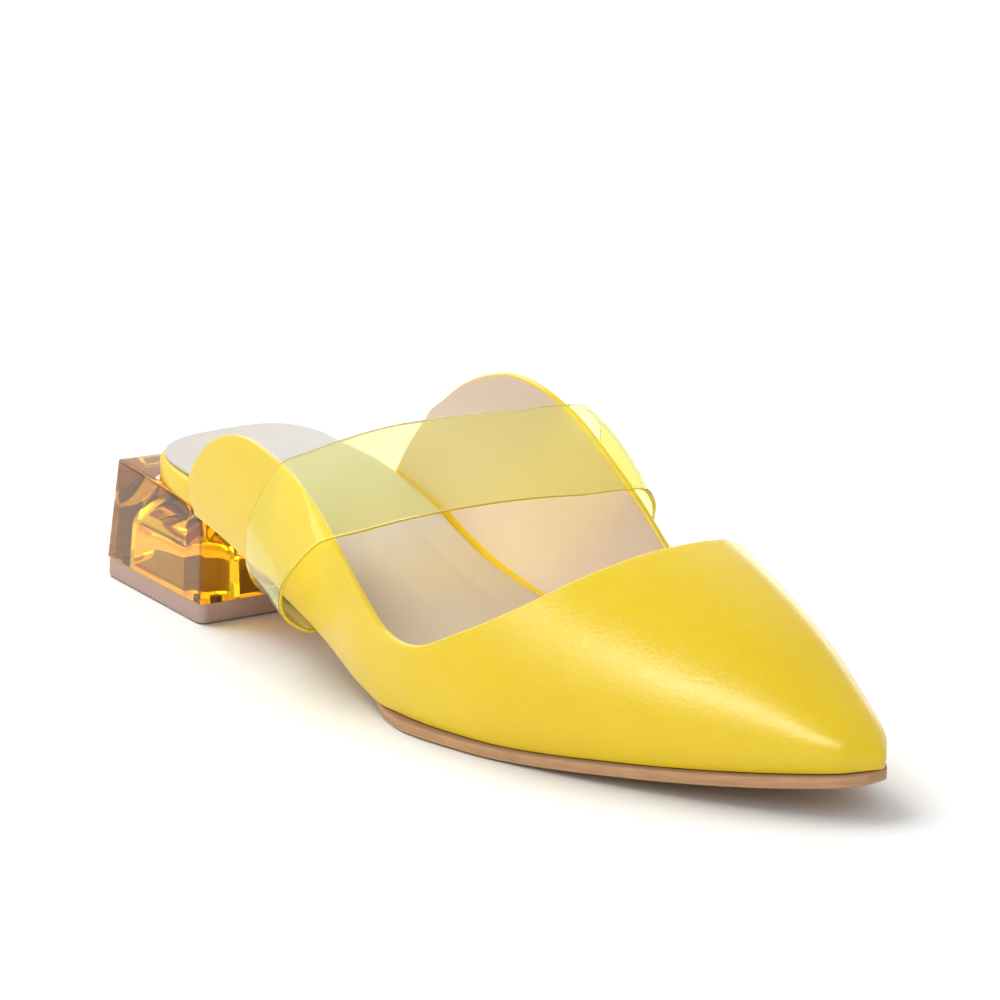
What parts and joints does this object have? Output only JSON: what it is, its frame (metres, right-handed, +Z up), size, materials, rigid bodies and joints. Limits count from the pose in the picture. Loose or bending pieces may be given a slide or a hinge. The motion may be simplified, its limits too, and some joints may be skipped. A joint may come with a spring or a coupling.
{
  "type": "heeled mule",
  "caption": "Pointed backless mule with a low block heel: hollow leather vamp with two side wings, clear instep strap, padded footbed and thin sole.",
  "frame": {"origin": "under the middle of the shoe's bounding box, on the floor", "axes": "+X from heel to toe, +Y to the inner side of the foot, +Z up; the shoe stands on its heel and ball"},
  "size_m": [0.2604, 0.0862, 0.0671],
  "materials": {
    "leather_upper": "smooth satin yellow",
    "leather_footbed": "smooth satin yellow",
    "lining": "soft matt beige",
    "clear_strap": "clear tinted film",
    "sole": "smooth tan edge",
    "clear_heel": "polished clear amber",
    "heel_tip": "matt mauve brown"
  },
  "bodies": {
    "root": {"upper": "leather_upper", "insole": "leather_footbed", "sock": "lining", "strap": "clear_strap", "outsole": "sole", "heel_block": "clear_heel", "heel_tip": "heel_tip"}
  },
  "joints": []
}
